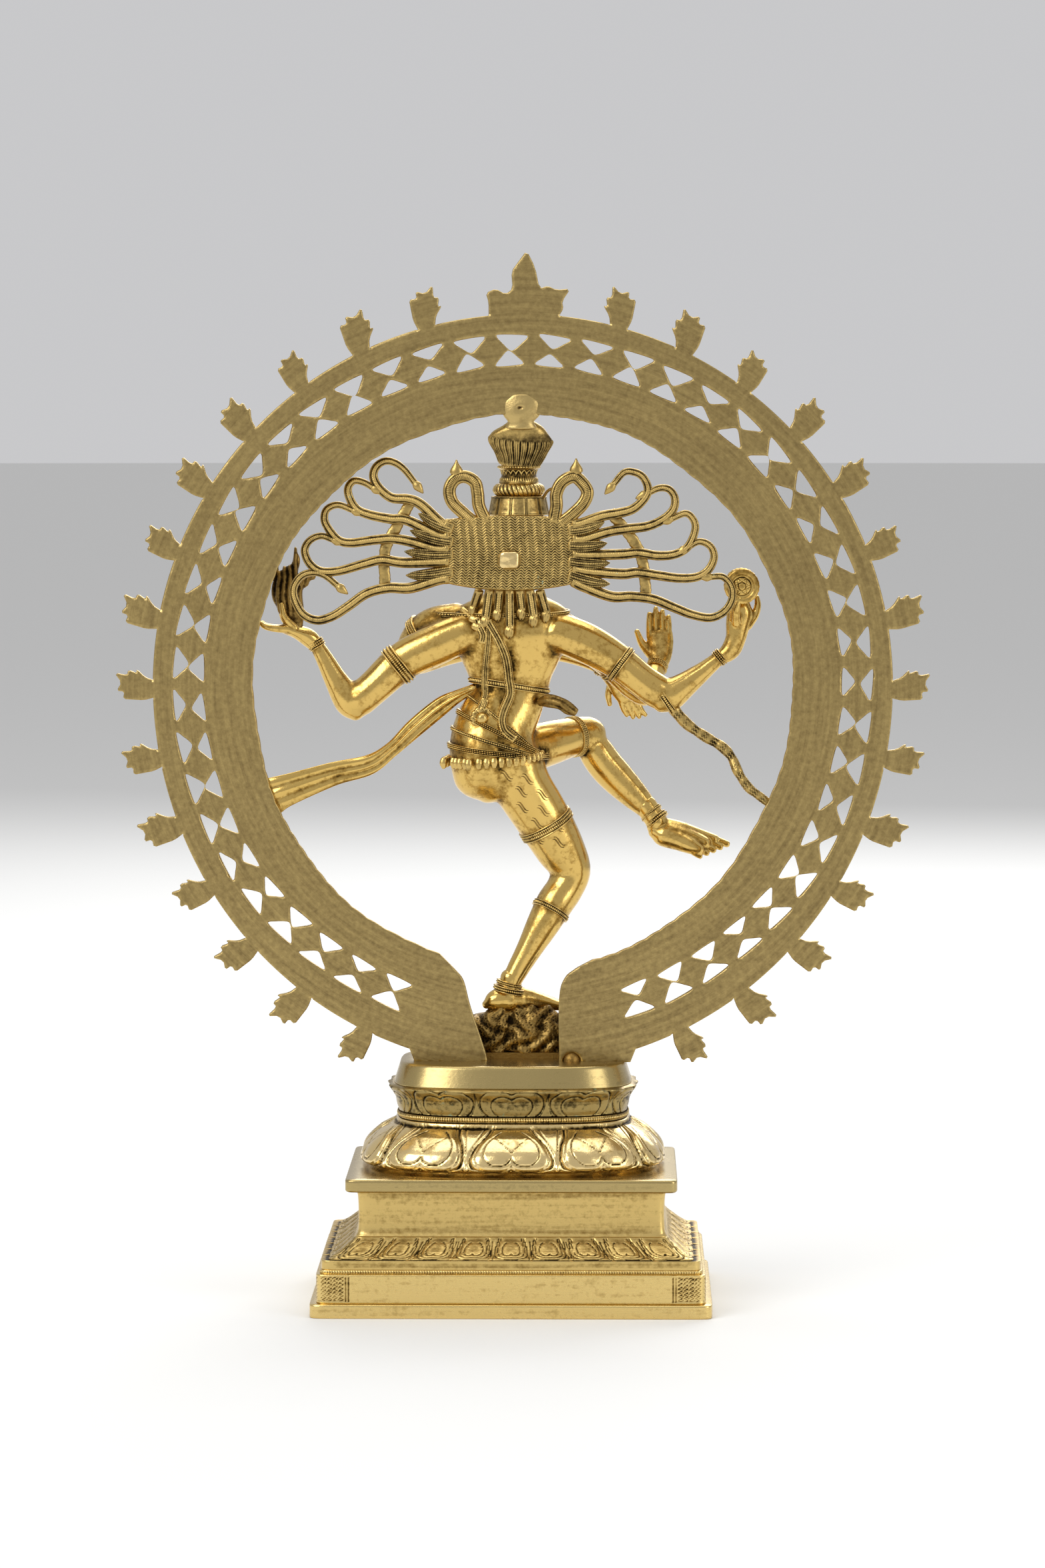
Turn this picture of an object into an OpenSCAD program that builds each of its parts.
// Dancing figure in a ring of flames, on a lotus pedestal: cast brass, brazed and bolted together.
// X runs to the figure's right, +Y is the way it faces, Z is up; the base stands on Z = 0.

/* [Pedestal] */
// Width of the foot plinth
foot_w = 283; // [265:1:300]
// Depth of the foot plinth, front to back
foot_d = 220; // [205:1:235]
// Thickness of the cast walls
wall = 5; // [4:0.5:7]
// Height of the foot plinth
foot_h = 9.7; // [8:0.1:14]
// Height of the chased band above it
band_h = 20.6; // [16:0.1:28]
// Height of the bead course on the band
bead_h = 2.8; // [2:0.1:4]
// Height of the sloping skirt of petals
skirt_h = 21; // [16:0.5:28]
// Height of the plain box above the skirt
dado_h = 32.4; // [24:0.2:44]
// Height of the cornice slab
slab_h = 9; // [7:0.5:12]
// Height of the lower lotus
lower_h = 36; // [30:0.5:44]
// Height of the bead course in the waist of the lotus
neck_h = 4.5; // [3:0.5:7]
// Height of the upper lotus
upper_h = 20; // [16:0.5:26]
// Height of the deck that the dancer stands on
deck_h = 15.5; // [13:0.5:22]
// How far the pedestal's middle stands to the left of the ring's
base_shift = 7; // [0:0.5:10]

/* [Ring of flames] */
// Radius of the ring's rim, without the flames
arch_r = 263; // [245:1:280]
// Width of the ring's band at its sides
arch_band = 71; // [64:1:76]
// Thickness of the ring's plate
arch_t = 7; // [5:0.5:9]
// Flat back of the ring, behind the figure's middle
arch_back = 20; // [18:0.5:24]
// Flames on each side, without the one at the top
flames = 14; // [10:1:15]
// Openings in each of the two rows
slots = 46; // [36:1:48]
// Size of the side flames, 1 being 28 mm long
flame_size = 1; // [0.8:0.05:1.15]

/* [Figure] */
// Height of the figure from the deck to the top of its crown
figure_h = 456; // [430:1:458]
// Thickness of the hair plate
plate_t = 5; // [4:0.5:6]
// Side of the square tang that holds the hair plate
tang_w = 14; // [10:0.5:16]
// Clearance round a tang, pin or bolt
fit = 0.2; // [0.1:0.05:0.4]

/* [Fixings] */
// Diameter of the bolt that holds the figure down
bolt_d = 8; // [6:0.5:10]
// Diameter of the pins that hold the ring's feet
pin_d = 4; // [3:0.5:5]
// Length of the ring's pins
pin_l = 22; // [18:1:26]

/* [Hidden] */
$fn = 48;

bright = "#c9a24a";
aged = "#8a6f35";
dark = "#5d4a26";

// Levels of the pedestal, from the foot up
band_z = foot_h;
bead_z = band_z + band_h;
skirt_z = bead_z + bead_h;
dado_z = skirt_z + skirt_h;
slab_z = dado_z + dado_h;
lower_z = slab_z + slab_h;
neck_z = lower_z + lower_h;
upper_z = neck_z + neck_h;
deck_z = upper_z + upper_h;
base_h = deck_z + deck_h;

// The ring nearly closes where it would meet the deck
arch_z = base_h + arch_r + 6;
arch_inner = arch_r - arch_band;
arch_front = arch_t - arch_back;

// The figure is laid out at 456 mm over the deck, and scaled from there
k = figure_h / 456;
function placed(list) = [for (s = list) [s[0] * k, s[1] * k, base_h + s[2] * k, s[3] * k, s[4] * k]];
module figure() translate([0, 0, base_h]) scale(k) children();

// ---------- shapes ----------

function unit(v) = v / norm(v);
function place(s) = [s[0], s[1], s[2]];

// A smooth run through stations [x, y, z, half width, half depth], n steps from each to the next
function run(s, n) = [
    for (i = [0 : len(s) - 2], j = [0 : n - 1])
        let (t = j / n, a = s[max(i - 1, 0)], b = s[i], c = s[i + 1], d = s[min(i + 2, len(s) - 1)])
        b + (c - a) * t / 2 + (2 * a - 5 * b + 4 * c - d) * t * t / 2 + (3 * b - a - 3 * c + d) * t * t * t / 2,
    s[len(s) - 1]];

// A closed skin over rings of points, each ring with the same number of points
module skin(rings) {
    count = len(rings[0]);
    last = len(rings) - 1;
    sides = [for (i = [0 : last - 1], j = [0 : count - 1])
        let (p = i * count + j, q = i * count + (j + 1) % count)
        each [[p, q, q + count], [p, q + count, p + count]]];
    start = [for (j = [count - 1 : -1 : 0]) j];
    end = [for (j = [0 : count - 1]) last * count + j];
    polyhedron([for (r = rings) each r], concat(sides, [start, end]));
}

// A limb: oval rings across a smooth run, flat at both ends
module limb(stations, n = 4, sides = 16) {
    s = run(stations, n);
    skin([for (i = [0 : len(s) - 1])
        let (along = unit(place(s[min(i + 1, len(s) - 1)]) - place(s[max(i - 1, 0)])),
             across = unit(cross(along, [0, 1, 0])),
             deep = cross(across, along))
        [for (j = [0 : sides - 1])
            let (a = j * 360 / sides)
            place(s[i]) + across * s[i][3] * cos(a) + deep * s[i][4] * sin(a)]]);
}

// Cuts the later shapes away from the first, so that the two meet face to face
module trimmed() {
    resize([0, 0, 0]) difference() {
        children(0);
        children([1 : $children - 1]);
    }
}

// Several shapes cast in one
module cast() resize([0, 0, 0]) union() children();

// A rounded rectangle whose corners are neither round nor square
function lotus_ring(w, d, z, count = 48) = [for (i = [0 : count - 1])
    let (a = -i * 360 / count, c = cos(a), s = sin(a), r = pow(pow(abs(c), 3) + pow(abs(s), 3), -1 / 3))
    [r * c * w / 2 - base_shift, r * s * d / 2, z]];

// A hollow tier: an outer profile of [width, depth, height] and the same inside, one wall in
module tier(profile) {
    inside = [for (i = [len(profile) - 1 : -1 : 0]) profile[i] - [2 * wall, 2 * wall, 0]];
    rings = [for (p = concat(profile, inside)) lotus_ring(p[0], p[1], p[2])];
    count = len(rings[0]);
    polyhedron([for (r = rings) each r],
        [for (i = [0 : len(rings) - 1], j = [0 : count - 1])
            let (i2 = (i + 1) % len(rings), j2 = (j + 1) % count)
            each [[i * count + j, i * count + j2, i2 * count + j2],
                  [i * count + j, i2 * count + j2, i2 * count + j]]]);
}

// A square-cornered frame, one wall thick
module frame(w, d, z, h, inset = wall) {
    translate([-base_shift, 0, z + h / 2]) difference() {
        cube([w, d, h], center = true);
        cube([w - 2 * inset, d - 2 * inset, h + 2], center = true);
    }
}

// ---------- pedestal ----------

band_w = foot_w - 9;
band_d = foot_d - 9;
dado_w = foot_w - 63;
dado_d = foot_d - 55;
neck_w = 165;
neck_d = 122;

module foot_plinth() color(bright) frame(foot_w, foot_d, 0, foot_h, wall + 4);

module chased_band() color(bright) frame(band_w, band_d, band_z, band_h);

module bead_course() color(bright) frame(band_w - 4, band_d - 4, bead_z, bead_h);

// The skirt: an upright fillet, then a hollow slope that comes in under the dado
module petal_skirt() {
    fillet = skirt_h * 0.32;
    color(bright) skin_frame([
        [band_w - 7, band_d - 7, skirt_z], [band_w - 7, band_d - 7, skirt_z + fillet],
        [band_w - 15, band_d - 15, skirt_z + fillet], [dado_w + 14, dado_d + 12, dado_z - skirt_h * 0.25],
        [dado_w, dado_d, dado_z]]);
}

// A square-cornered hollow tier on a profile of [width, depth, height]
module skin_frame(profile) {
    inside = [for (i = [len(profile) - 1 : -1 : 0]) profile[i] - [2 * wall, 2 * wall, 0]];
    corners = [[1, 1], [1, -1], [-1, -1], [-1, 1]];
    points = [for (p = concat(profile, inside), c = corners)
        [c.x * p[0] / 2 - base_shift, c.y * p[1] / 2, p[2]]];
    rings = 2 * len(profile);
    polyhedron(points, [for (i = [0 : rings - 1], j = [0 : 3])
        let (i2 = (i + 1) % rings, j2 = (j + 1) % 4)
        [i * 4 + j, i * 4 + j2, i2 * 4 + j2, i2 * 4 + j]]);
}

module dado_box() color(aged) frame(dado_w, dado_d, dado_z, dado_h);

// The slab is a full plate with one window, so that the lotus has a seat all round
module cornice_slab() color(bright) frame(dado_w + 14, dado_d + 20, slab_z, slab_h, 42);

module lower_lotus() color(bright) tier([
    [neck_w + 44, neck_d + 40, lower_z], [neck_w + 52, neck_d + 48, lower_z + lower_h * 0.2],
    [neck_w + 46, neck_d + 42, lower_z + lower_h * 0.45], [neck_w + 24, neck_d + 22, lower_z + lower_h * 0.75],
    [neck_w, neck_d, neck_z]]);

module lotus_neck() color(bright) tier([
    [neck_w, neck_d, neck_z], [neck_w + 2, neck_d + 2, neck_z + neck_h / 2], [neck_w, neck_d, upper_z]]);

module upper_lotus() color(aged) tier([
    [neck_w, neck_d, upper_z], [neck_w + 3, neck_d + 3, upper_z + upper_h * 0.35],
    [neck_w + 10, neck_d + 10, upper_z + upper_h * 0.7], [neck_w + 16, neck_d + 16, upper_z + upper_h * 0.92],
    [neck_w + 12, neck_d + 12, deck_z]]);

deck_w = 176;
deck_d = 132;
bolt_x = 4;
bolt_y = 16;
foot_x = 52;
arch_mid = arch_t / 2 - arch_back;

// The deck: a plate with a deep rim, bored for the figure's bolt and the ring's two pins
module deck() {
    taper = 12;
    color(bright) difference() {
        translate([-base_shift, 0, deck_z]) linear_extrude(deck_h)
            polygon([for (p = lotus_ring(deck_w - taper / 2, deck_d - taper / 2, 0)) [p.x + base_shift, p.y]]);
        translate([-base_shift, 0, deck_z - 1]) linear_extrude(deck_h + 1 - wall)
            polygon([for (p = lotus_ring(deck_w - 22, deck_d - 22, 0)) [p.x + base_shift, p.y]]);
        translate([bolt_x, bolt_y, deck_z]) cylinder(d = bolt_d + 2 * fit, h = deck_h + 1);
        for (x = [-foot_x, knob_x, foot_x])
            translate([x, arch_mid, deck_z]) cylinder(d = pin_d + 2 * fit, h = deck_h + 1);
    }
}

// ---------- fixings ----------

seat_t = 4;
head_h = 5;
washer_t = 1.6;

// Oval plate that the figure is cast on, threaded for its bolt
module seat_plate() color(aged) difference() {
    translate([bolt_x, bolt_y, base_h]) linear_extrude(seat_t) hull()
        for (x = [-1, 1]) translate([x * 30, 0]) circle(d = 40);
    translate([bolt_x, bolt_y, base_h - 1]) cylinder(d = bolt_d, h = seat_t + 2);
}

// Hex bolt that comes up through the deck into the seat plate
module seat_bolt() color("silver") translate([bolt_x, bolt_y, base_h - wall - washer_t - head_h]) {
    cylinder(d = bolt_d * 1.6, h = head_h, $fn = 6);
    translate([0, 0, head_h - 0.5]) cylinder(d = bolt_d, h = wall + washer_t + seat_t + 0.5);
}

module seat_washer() color("silver") translate([bolt_x, bolt_y, base_h - wall - washer_t]) difference() {
    cylinder(d = bolt_d * 2.1, h = washer_t);
    translate([0, 0, -1]) cylinder(d = bolt_d + 2 * fit, h = washer_t + 2);
}

module arch_pin(x) color(bright) translate([x, arch_mid, base_h - pin_l / 2]) cylinder(d = pin_d, h = pin_l);

module arch_pin_left() arch_pin(-foot_x);

module arch_pin_right() arch_pin(foot_x);

// Round-headed rivet through the deck, in the notch of the right foot
knob_d = 12.8;
knob_x = 35;
module arch_knob() color(aged) translate([knob_x, arch_mid, base_h]) rotate_extrude() polygon(concat(
    [[0, -pin_l / 2], [pin_d / 2, -pin_l / 2], [pin_d / 2, 0]],
    [for (a = [0 : 15 : 75]) knob_d / 2 * [cos(a), sin(a)]], [[0, knob_d / 2]]));

// ---------- ring of flames ----------

// Rim and inner edge at an angle from the figure's right: both swell a little below the middle
function low(a) = pow(max(0, -sin(a)), 2);
function rim(a) = arch_r * (1 + 0.037 * low(a));
function inner(a) = arch_inner + 10 * low(a) + 1.2 * sin(9 * a) * sin(4 * a + 40);
function on_arch(r, a) = [r * cos(a), arch_z + r * sin(a)];

function turned(p, a) = [p.x * cos(a) - p.y * sin(a), p.x * sin(a) + p.y * cos(a)];
function reversed(list) = [for (i = [len(list) - 1 : -1 : 0]) list[i]];
function rim_arc(from, to, n) = [for (j = [0 : n]) let (a = from + (to - from) * j / n) on_arch(rim(a), a)];
function inner_arc(from, to, n) = [for (j = [0 : n]) let (a = from + (to - from) * j / n) on_arch(inner(a), a)];

// One flame leaf, across and out from the rim: it leans toward the top of the ring
leaf = [[6.3, 0], [8.5, 6], [14.5, 12], [11.5, 12], [14, 18], [10, 19], [12, 28], [5, 23],
        [-1, 26.5], [-1.6, 21], [-7, 22], [-7.5, 14.5], [-8, 7], [-6.3, 0]];
first_flame = 15;
flame_pitch = 140.4 / (flames - 1);
leaf_half = asin(6.6 * flame_size * 1.05 / arch_r);

// Where side flame i stands, counted down from the top; side is 1 on the figure's right
function flame_angle(side, i) = 90 - side * (first_flame + i * flame_pitch);

function flame_points(side, i) =
    let (a = flame_angle(side, i), size = flame_size * (1 + 0.05 * sin(i * 131)), turn = a - 90 + side * 3 * sin(i * 77))
    [for (p = side > 0 ? reversed(leaf) : leaf) on_arch(rim(a) - 0.3, a) + turned(size * [-side * p.x, p.y], turn)];

// The tall flame at the top: two shoulders and a spire
top_flame = [[-24, -1], [-24, 8], [-26, 15], [-19, 18], [-12, 14], [-7, 18], [-8, 30], [-3, 37], [3, 45],
             [9, 33], [12, 18], [18, 20], [24, 17], [34, 18], [28, 9], [29, 4], [26, -1]];
top_half = 6;

// The outer edge, from the right foot over the top to the left foot
foot_edge = 77;
foot_angle = 73;
outer_edge = concat(
    [[foot_edge, base_h]], rim_arc(-foot_angle, flame_angle(1, flames - 1) - leaf_half, 2),
    [for (i = [flames - 1 : -1 : 0]) each concat(flame_points(1, i),
        rim_arc(flame_angle(1, i) + leaf_half, (i > 0 ? flame_angle(1, i - 1) - leaf_half : 90 - top_half), 3))],
    [for (p = reversed(top_flame)) p + [0, arch_z + arch_r]],
    [for (i = [0 : flames - 1]) each concat(
        rim_arc((i > 0 ? flame_angle(-1, i - 1) + leaf_half : 90 + top_half), flame_angle(-1, i) - leaf_half, 3),
        flame_points(-1, i))],
    rim_arc(flame_angle(-1, flames - 1) + leaf_half, 180 + foot_angle, 2), [[-foot_edge, base_h]]);

// The feet have hand-cut shoulders, and the right one a notch over the rivet
notch = knob_d / 2 + fit;
left_foot = [[-25, 0], [-27, 9], [-37, 39], [-42, 58], [-48, 66]];
right_foot = [[38, 67], [30, 60], [26, 45], [26, 0]];
inner_edge = concat(
    [for (p = left_foot) p + [0, base_h]],
    inner_arc(253, -76, 90),
    [for (p = right_foot) p + [0, base_h]],
    [for (a = [180 : -30 : 0]) [knob_x, base_h] + notch * [cos(a), sin(a)]]);

// One opening: a long side, a blunt point and softened corners; row +1 opens outward, -1 inward
function opening(a, row, seed) =
    let (r = arch_r - (row > 0 ? 15 : 35.5), half = arch_r * (row > 0 ? 0.041 : 0.036) * 46 / slots,
         deep = 9 * (1 + 0.16 * sin(seed * 97)), tilt = a - 90 + 4 * sin(seed * 61))
    [for (p = [[-half, -1], [-half * 0.8, 0.6], [half * 0.8, 0.4], [half, -1.2], [half * 0.7, -0.45 * deep],
               [half * 0.2, -deep * 0.92], [-half * 0.12, -deep], [-half * 0.6, -0.55 * deep]])
        on_arch(r, a) + turned([p.x, row * p.y], tilt)];

openings = [for (i = [0 : slots - 1], row = [1, -1])
    opening(88.2 + (i - (slots - 1) / 2) * 324 / slots + (row > 0 ? 0 : 0.6), row, row > 0 ? i : i + 7)];
edge = concat(outer_edge, inner_edge);

module arch() {
    corners = len(openings[0]);
    color(aged) difference() {
        translate([0, arch_front, 0]) rotate([90, 0, 0]) linear_extrude(arch_t) polygon(
            concat(edge, [for (o = openings) each o]),
            concat([[for (i = [0 : len(edge) - 1]) i]],
                [for (h = [0 : len(openings) - 1]) [for (i = [0 : corners - 1]) len(edge) + h * corners + i]]));
        for (x = [-foot_x, foot_x])
            translate([x, arch_mid, base_h - 1]) cylinder(d = pin_d + 2 * fit, h = pin_l / 2 + 1);
    }
}

// ---------- dwarf and dancer ----------

// The dwarf lies along the seat plate, head to the right, its back flattened for the dancer's foot
module dwarf_shape() {
    limb(placed([[-48, 16, 16, 5, 8], [-36, 16, 18, 12, 15], [-18, 16, 19, 14, 17], [2, 16, 19, 14, 17],
        [22, 16, 18, 14, 18], [36, 16, 19, 10, 13], [46, 17, 22, 7, 8]]), 3);
    limb(placed([[43, 17, 23, 5, 5], [49, 17, 25, 10, 10], [59, 17, 26, 11.5, 11], [67, 17, 25, 7, 7],
        [70, 17, 24, 2, 2]]), 3, 12);
    limb(placed([[-40, 24, 15, 8, 8], [-54, 27, 19, 8, 8], [-61, 30, 12, 6, 6], [-60, 32, 4, 5, 5]]), 3, 10);
    limb(placed([[18, 30, 17, 6, 6], [34, 36, 17, 5.5, 5.5], [46, 36, 11, 5, 5], [54, 34, 6, 3, 3]]), 3, 10);
}

module dwarf() color(dark) trimmed() {
    dwarf_shape();
    translate([-100, -100, base_h + seat_t - 50]) cube([200, 200, 50]);
}

module leg_shape() {
    limb(placed([[-6, 14, 208, 22, 20], [0, 15, 194, 21, 20], [13, 19, 173, 20, 19], [26, 24, 150, 18, 17],
        [34, 27, 134, 14.5, 15], [30, 25, 121, 13.5, 14], [22.5, 21, 110, 13.5, 14], [14, 17, 95, 12, 12],
        [4.5, 14, 78, 9.5, 9.5], [-4, 12, 63, 8, 8], [-9, 11, 53, 7.5, 8], [-10, 11, 42, 8, 9]]), 2);
    limb(placed([[-27, 8, 38, 3, 5], [-20, 9, 41, 8, 8], [-8, 12, 42, 9.5, 9], [6, 17, 40, 8, 9],
        [20, 22, 38, 6, 9], [32, 26, 36, 4, 8.5], [38, 28, 35.5, 2, 4]]), 2, 12);
}

module standing_leg() color(bright) trimmed() {
    leg_shape();
    torso_shape();
    dwarf_shape();
}

module raised_shape() {
    limb(placed([[-2, 24, 219, 17, 17], [18, 40, 224, 16, 16], [36, 56, 228, 14, 14], [48, 66, 228, 13.5, 13.5],
        [53, 72, 226, 7, 7]]), 3);
    limb(placed([[43, 62, 232, 6, 7], [50, 64, 220, 12, 12], [58, 65, 208, 13, 13], [68, 64, 197, 12.5, 12],
        [80, 62, 185, 10.5, 10], [90, 60, 175, 8, 8], [97, 58, 167, 7.5, 7.5]]), 2);
    limb(placed([[93, 58, 163, 5, 6], [99, 58, 160, 9.5, 8], [110, 58, 158, 10, 8.5], [122, 58, 154, 9, 8],
        [136, 58, 149, 6, 8], [147, 58, 147.5, 3.5, 6.5], [152, 58, 148, 1.5, 3]]), 2, 12);
}

module raised_leg() color(bright) trimmed() {
    raised_shape();
    torso_shape();
    leg_shape();
}

module torso_shape() {
    limb(placed([[-12, 15, 192, 20, 16], [-17, 15, 204, 32, 23], [-22, 14, 221, 31, 25], [-20, 14, 238, 29, 23],
        [-12, 16, 254, 26, 19], [-9, 17, 266, 27, 18], [-9, 17, 278, 32, 19], [-9, 16, 294, 39, 21],
        [-8, 15, 310, 43, 21], [-8, 14, 323, 38, 17], [-8, 14, 331, 24, 13], [-8, 14, 338, 13, 11],
        [-8, 14, 346, 11, 11]]), 2, 20);
}

module torso() color(bright) torso_shape();

// The tang is let into a round boss at the back of the head
tang_x = -9.5;
tang_z = 358;
plate_back = 15;

module tang(clear, from, length) translate([tang_x, from, tang_z]) rotate([-90, 0, 0])
    linear_extrude(length) square([tang_w + 2 * clear, tang_w - 2 + 2 * clear], center = true);

module head() color(bright) trimmed() {
    union() {
        limb(placed([[-8, 18, 343, 8, 9], [-8, 17, 350, 16, 16], [-8, 16, 362, 20, 20], [-7, 15, 375, 20, 20],
            [-6, 13, 385, 17, 17], [-5, 11, 390, 13, 13]]), 2);
        figure() translate([tang_x, plate_t - plate_back, tang_z]) rotate([-90, 0, 0]) cylinder(r = 14, h = 20);
    }
    torso_shape();
    crown_band();
    figure() tang(fit, -plate_back, 18);
}

module hair_tang() color(bright) figure() tang(0, -plate_back - 3, 20);

// Flat plate of hair behind the head: straight sides, a low arch above and a sagging lower edge
plate_left = -53;
plate_right = 36;

module hair_plate() color(aged) figure() difference() {
    translate([0, plate_t - plate_back, 0]) rotate([90, 0, 0]) linear_extrude(plate_t)
        polygon([[plate_left, 387], [-30, 389.5], [-8, 390], [16, 389.5], [plate_right, 387],
            [plate_right, 341], [20, 338], [-8, 336], [-38, 338], [plate_left, 341]]);
    tang(fit, -plate_back - 1, plate_t + 2);
}

crown_x = -3;
crown_y = 8;

module crown_band() color(aged) figure() translate([crown_x, crown_y, 390]) cylinder(r1 = 22, r2 = 19.5, h = 13);

module crown_bulb() color(bright) figure() translate([crown_x, crown_y, 403]) rotate_extrude()
    polygon([[0, 0], [16, 0], [18, 3], [18, 6], [15, 9], [0, 9]]);

module crown_collar() color(bright) figure() translate([crown_x, crown_y, 412]) rotate_extrude()
    polygon([[0, 0], [14, 0], [12.5, 3], [12.5, 9], [15, 11], [14, 13], [0, 13]]);

// Flared crest, wider than it is deep
module crown_fan() color(dark) trimmed() {
    limb(placed([[-3, 4, 425, 14, 10], [-2, 2, 434, 19, 9], [-1.5, -2, 443, 23.5, 8], [-1, -5, 450, 18, 7],
        [-1, -7, 456, 10.5, 5]]), 2);
    crown_collar();
}

// Braze disc and tongue between the crest and the ring's inner edge
tongue_w = 20;
tongue_z = 448;
crest_back = 11.4;
module arch_top_tab() color(bright) trimmed() {
    union() {
        translate([-1, arch_mid, arch_z + arch_inner + 2]) rotate([90, 0, 0]) scale([1, 0.62, 1])
            cylinder(r = 15, h = arch_t + 3, center = true);
        translate([-1 - tongue_w / 2, -arch_back, base_h + tongue_z * k])
            cube([tongue_w, arch_back - crest_back * k, arch_z + arch_inner - base_h - tongue_z * k]);
    }
    arch();
    crown_fan();
}

// ---------- arms ----------

module flame_arm_shape() {
    limb(placed([[-38, 8, 308, 14, 12], [-62, 7, 297, 15, 13], [-86, 6, 285, 14, 12], [-106, 5, 267, 12.5, 11.5],
        [-119, 5, 256, 12, 11], [-126, 5, 250, 6, 6]]), 2, 14);
    limb(placed([[-116, 5, 247, 7, 7], [-124, 5, 256, 11, 10.5], [-134, 5, 272, 8.5, 8.5], [-142, 5, 287, 6.5, 6.5],
        [-149, 5, 299, 5, 5]]), 2, 14);
}

module flame_arm() color(bright) trimmed() {
    flame_arm_shape();
    torso_shape();
}

module flame_hand_shape() {
    limb(placed([[-146, 5, 295, 4, 4], [-153, 5, 303, 7, 5], [-163, 5, 306, 8, 5], [-173, 5, 309, 7, 4.5],
        [-183, 5, 311, 4.5, 4], [-189, 5, 312, 2, 2]]), 2, 12);
    limb(placed([[-170, 5, 308, 3, 3], [-178, 5, 317, 3, 3], [-180, 5, 326, 1.5, 1.5]]), 2, 8);
}

module flame_hand() color(bright) trimmed() {
    flame_hand_shape();
    flame_arm_shape();
}

module hand_flame() color(dark) trimmed() {
    limb(placed([[-160, 5, 308, 5, 4], [-162, 5, 320, 9, 6], [-166, 5, 332, 9, 6], [-169, 5, 342, 7, 5],
        [-167, 5, 350, 3.5, 3], [-165, 5, 357, 1, 1]]), 2, 12);
    flame_hand_shape();
}

module drum_arm_shape() {
    limb(placed([[22, 8, 307, 14, 12], [45, 7, 298, 14.5, 12.5], [66, 6, 286, 13, 12], [84, 5, 272, 12, 11],
        [98, 5, 262, 12, 11], [106, 5, 256, 6, 6]]), 2, 14);
    limb(placed([[95, 5, 254, 7, 7], [104, 5, 260, 11.5, 10.5], [118, 5, 270, 8.8, 8.5], [131, 5, 280, 6.5, 6.5],
        [143, 5, 290, 5, 5]]), 2, 14);
}

module drum_arm() color(bright) trimmed() {
    drum_arm_shape();
    torso_shape();
}

module drum_hand() color(bright) trimmed() {
    union() {
        limb(placed([[140, 5, 287, 4, 4], [148, 5, 296, 8, 5], [154, 5, 307, 9.5, 5], [157, 5, 318, 8, 4.5],
            [158, 5, 330, 5, 4]]), 2, 12);
        limb(placed([[159, 5, 310, 3.5, 3.2], [169, 5, 317, 3, 2.8], [170, 5, 326, 2, 1.8]]), 2, 8);
    }
    drum_arm_shape();
    drum();
}

// Small two-headed drum, waisted, its heads to the front and back
module drum() color(bright) figure() translate([156, 5, 339]) rotate([90, 0, 0]) rotate_extrude()
    polygon([[0, -12], [12.3, -12], [12.3, -9.5], [7, -1], [7, 1], [12.3, 9.5], [12.3, 12], [0, 12]]);

module blessing_arm_shape() {
    limb(placed([[24, 16, 310, 12, 12], [44, 22, 298, 13, 13], [62, 28, 284, 12, 12], [78, 34, 268, 11, 11],
        [88, 40, 260, 10, 10], [92, 44, 257, 5, 5]]), 2, 14);
    limb(placed([[84, 36, 257, 6, 6], [90, 42, 262, 9.5, 9.5], [94, 52, 272, 7.5, 7.5], [97, 60, 281, 6, 6]]), 2, 14);
}

module blessing_arm() color(bright) trimmed() {
    blessing_arm_shape();
    torso_shape();
    drum_arm_shape();
}

module blessing_hand() color(bright) trimmed() {
    union() {
        limb(placed([[96, 58, 278, 5, 4], [98, 61, 287, 10, 5], [98, 62, 298, 11, 5], [98, 62, 308, 9, 4.5],
            [97, 62, 319, 2.5, 2.5]]), 2, 12);
        limb(placed([[93, 62, 286, 4, 4], [84, 62, 296, 3, 3], [79, 62, 301, 2, 2]]), 2, 8);
    }
    blessing_arm_shape();
}

module pointing_arm_shape() {
    limb(placed([[-44, 18, 314, 13, 13], [-64, 22, 308, 15, 14], [-76, 28, 297, 14, 13], [-80, 36, 285, 11, 11],
        [-79, 43, 280, 6, 6]]), 2, 14);
    limb(placed([[-83, 34, 280, 7, 7], [-74, 45, 284, 10, 10], [-50, 56, 290, 9, 9], [-20, 60, 294, 8, 8],
        [10, 59, 292, 7, 7], [40, 57, 285, 6, 6], [60, 55, 276, 5, 5]]), 2, 14);
}

module pointing_arm() color(bright) trimmed() {
    pointing_arm_shape();
    torso_shape();
    flame_arm_shape();
}

module pointing_hand() color(bright) trimmed() {
    limb(placed([[56, 55, 278, 4, 4], [67, 56, 268, 8, 5], [73, 57, 256, 8, 5], [79, 58, 245, 6, 4],
        [84, 58, 239, 2, 2]]), 2, 12);
    pointing_arm_shape();
}

// ---------- hair ----------

// Loops of hair beside the crown, rooted in the plate's top edge and tipped with a bud
module hair_loop(list, bud) cast() {
    limb(placed([for (p = list) [p.x, -12, p.y, 4.6, 3.2]]), 2, 10);
    limb(placed([[bud.x, -12, bud.y - 8, 2, 2], [bud.x, -12, bud.y - 3, 4.5, 2.4], [bud.x, -12, bud.y + 5, 0.8, 0.8]]),
        2, 8);
}

module loop_left() color(aged) trimmed() {
    hair_loop([[-34, 384], [-42, 391], [-50, 399], [-52, 408], [-48, 415], [-41, 417], [-34, 413], [-32, 405],
        [-31, 396], [-26, 385]], [-47, 424]);
    hair_plate();
}

module loop_right() color(aged) trimmed() {
    hair_loop([[22, 385], [24, 396], [24, 405], [28, 413], [36, 417], [42, 413], [46, 406], [43, 398],
        [35, 390], [27, 384]], [38, 425]);
    hair_plate();
}

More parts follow.
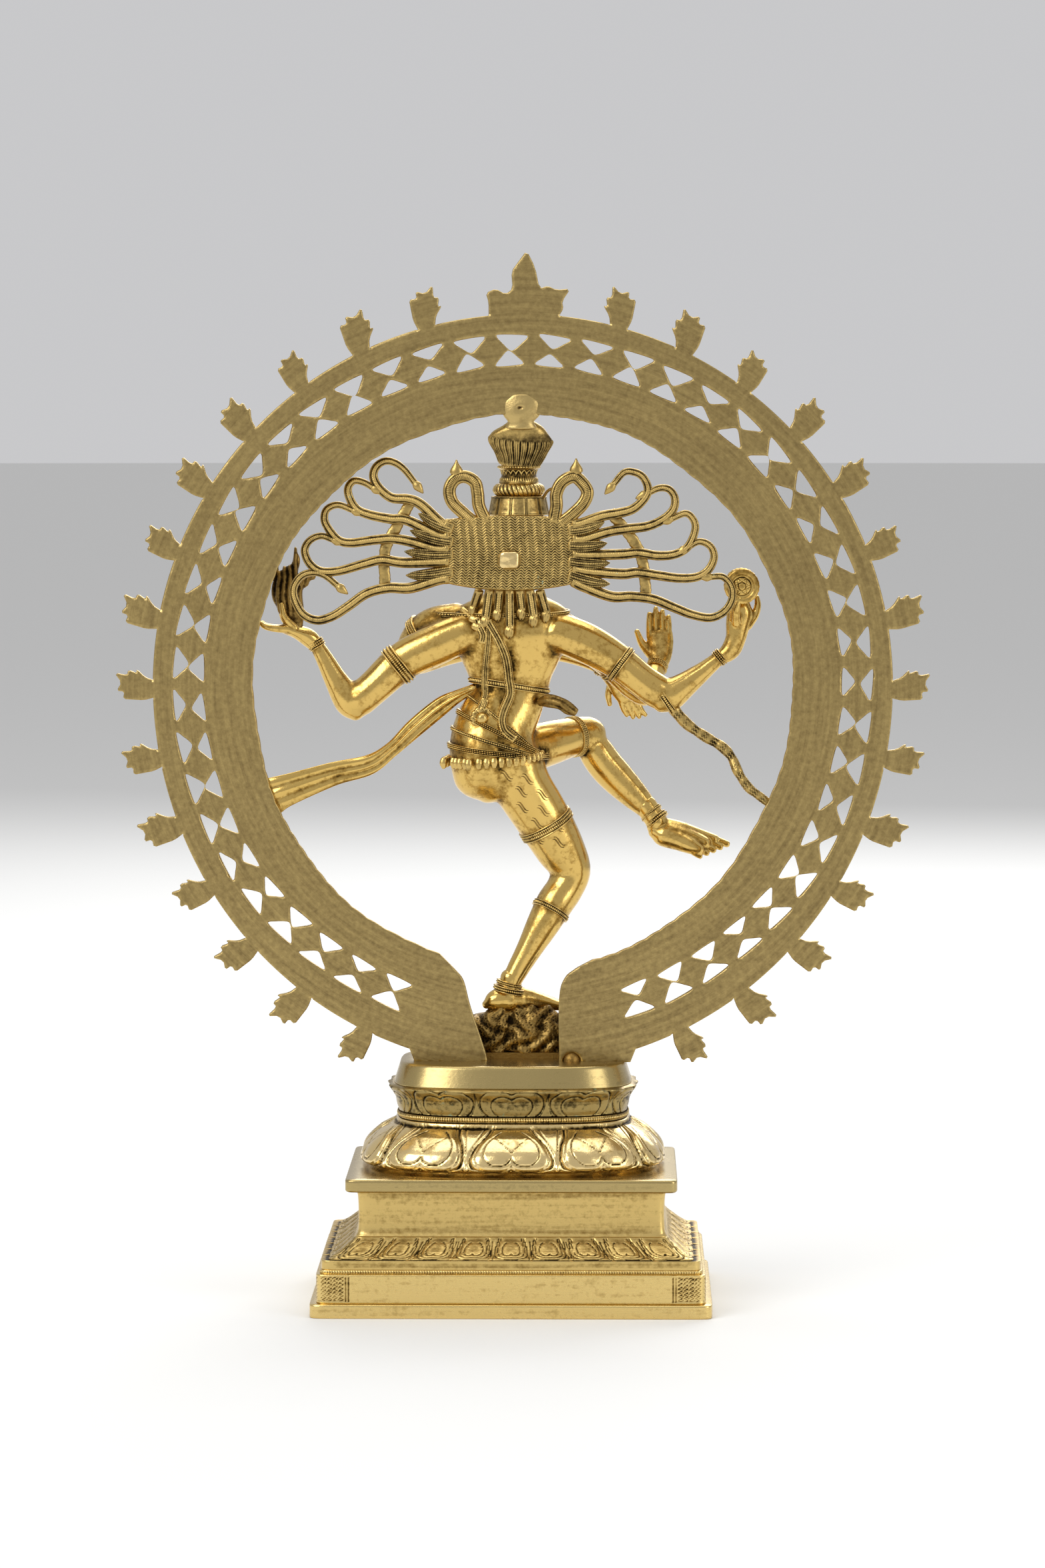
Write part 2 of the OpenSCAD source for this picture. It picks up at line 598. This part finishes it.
// A tress: a ribbed lock swept along points [x, z] from the plate's edge, thinning to its tip
hair_y = -12.5;
function tress(list) = [for (i = [0 : len(list) - 1])
    let (thin = 4.2 - 1.9 * i / (len(list) - 1)) [list[i].x, hair_y, list[i].y, thin, thin * 0.8]];

left_tresses = [
    [[-53, 383], [-58, 384], [-72, 397], [-81, 401], [-93, 402], [-102, 409], [-106, 417], [-104, 424],
     [-98, 428], [-91, 427], [-84, 422], [-76, 412]],
    [[-53, 375], [-60, 375.5], [-82, 386], [-94, 387], [-109, 390], [-118, 394], [-123, 402], [-124, 409],
     [-120, 414], [-113, 413], [-106, 409]],
    [[-53, 366], [-62, 366], [-80, 371], [-93, 373], [-106, 372], [-122, 370], [-131, 372], [-138, 380],
     [-141, 387], [-139, 394], [-131, 397], [-120, 393]],
    [[-53, 357], [-62, 356.5], [-85, 356], [-100, 358], [-113, 355], [-131, 350], [-144, 350], [-152, 356],
     [-155, 365], [-151, 372], [-143, 375], [-134, 372]],
    [[-53, 345], [-60, 344], [-80, 338], [-96, 338], [-111, 334], [-124, 325], [-135, 318], [-146, 315],
     [-156, 319], [-162, 329], [-163, 338], [-158, 346], [-150, 349], [-141, 347], [-131, 339]]];

right_tresses = [
    [[36, 383], [42, 384], [56, 389], [67, 391], [78, 394], [86, 401], [89, 408], [86, 416], [80, 420],
     [72, 420], [64, 411]],
    [[36, 373], [44, 373], [61, 378], [74, 380], [89, 382], [100, 387], [107, 394], [108, 402], [104, 408],
     [97, 409], [88, 405]],
    [[36, 362], [46, 361.5], [70, 362], [82, 363], [96, 361], [108, 362], [117, 367], [122, 377], [122, 385],
     [116, 391], [105, 387]],
    [[36, 352], [46, 350], [70, 348], [82, 349], [96, 347], [112, 345], [124, 346], [132, 351], [136, 360],
     [133, 368], [125, 371], [116, 366]],
    [[36, 343], [44, 339], [63, 332], [78, 332], [93, 330], [108, 324], [121, 319], [134, 317], [144, 322],
     [149, 331], [148, 340], [142, 346], [133, 346]]];

module tresses(list) {
    for (t = list) limb(placed(tress(t)), 2, 8);
}

module hair_strands_left() color(aged) cast() tresses(left_tresses);

module hair_strands_right() color(aged) cast() tresses(right_tresses);

// Flat strips brazed across the fronts of the tresses
module hair_brace(list) limb(placed([for (p = list) [p.x, -8.2, p.y, 4, 1.5]]), 3, 8);

module hair_brace_left() color(aged) trimmed() {
    hair_brace([[-78, 402], [-90, 381], [-98, 364], [-98, 336]]);
    tresses(left_tresses);
}

module hair_brace_right() color(aged) trimmed() {
    hair_brace([[62, 392], [77, 374], [85, 358], [88, 330]]);
    tresses(right_tresses);
}

// ---------- sashes ----------

// A point on the front of the ring's band, as a station
function on_band(inward, a, w, d) = let (p = on_arch(arch_inner + inward, a)) [p.x, arch_front - 0.5, p.y, w, d];

module ring_front() translate([-400, arch_front - 40, 0]) cube([800, 40, 900]);

// Broad scarf from the waist, widening to where it is brazed on the ring
module sash() color(bright) trimmed() {
    limb(concat(placed([[-34, 14, 266, 3, 2.5], [-59, 12, 252, 6.5, 2], [-78, 8, 237, 7, 1.8], [-94, 3, 222, 6.5, 1.8],
        [-110, -2, 211, 7.5, 1.8], [-136, -8, 205, 8, 1.8]]),
        [on_band(-8, 204, 11, 1.8), on_band(9, 204, 14, 1.8)]), 2, 12);
    ring_front();
    torso_shape();
}

// The snake hangs from the right arm's elbow and is brazed to the ring
module snake() color(aged) trimmed() {
    limb(concat(placed([[104, 5, 256, 3, 3], [119, 3, 237, 3.2, 3], [138, 0, 227, 3.2, 3], [149, -4, 219, 3.2, 3],
        [154, -9, 205, 3.2, 3]]), [on_band(-7, -25, 3.2, 3), on_band(11, -26, 3, 2.5)]), 2, 8);
    ring_front();
    drum_arm_shape();
}

foot_plinth();
chased_band();
bead_course();
petal_skirt();
dado_box();
cornice_slab();
lower_lotus();
lotus_neck();
upper_lotus();
deck();
seat_plate();
seat_bolt();
seat_washer();
arch();
arch_top_tab();
arch_pin_left();
arch_pin_right();
arch_knob();
dwarf();
standing_leg();
raised_leg();
torso();
head();
drum_arm();
drum_hand();
drum();
flame_arm();
flame_hand();
hand_flame();
blessing_arm();
blessing_hand();
pointing_arm();
pointing_hand();
hair_plate();
hair_tang();
crown_band();
crown_bulb();
crown_collar();
crown_fan();
loop_left();
loop_right();
hair_brace_left();
hair_brace_right();
hair_strands_left();
hair_strands_right();
sash();
snake();
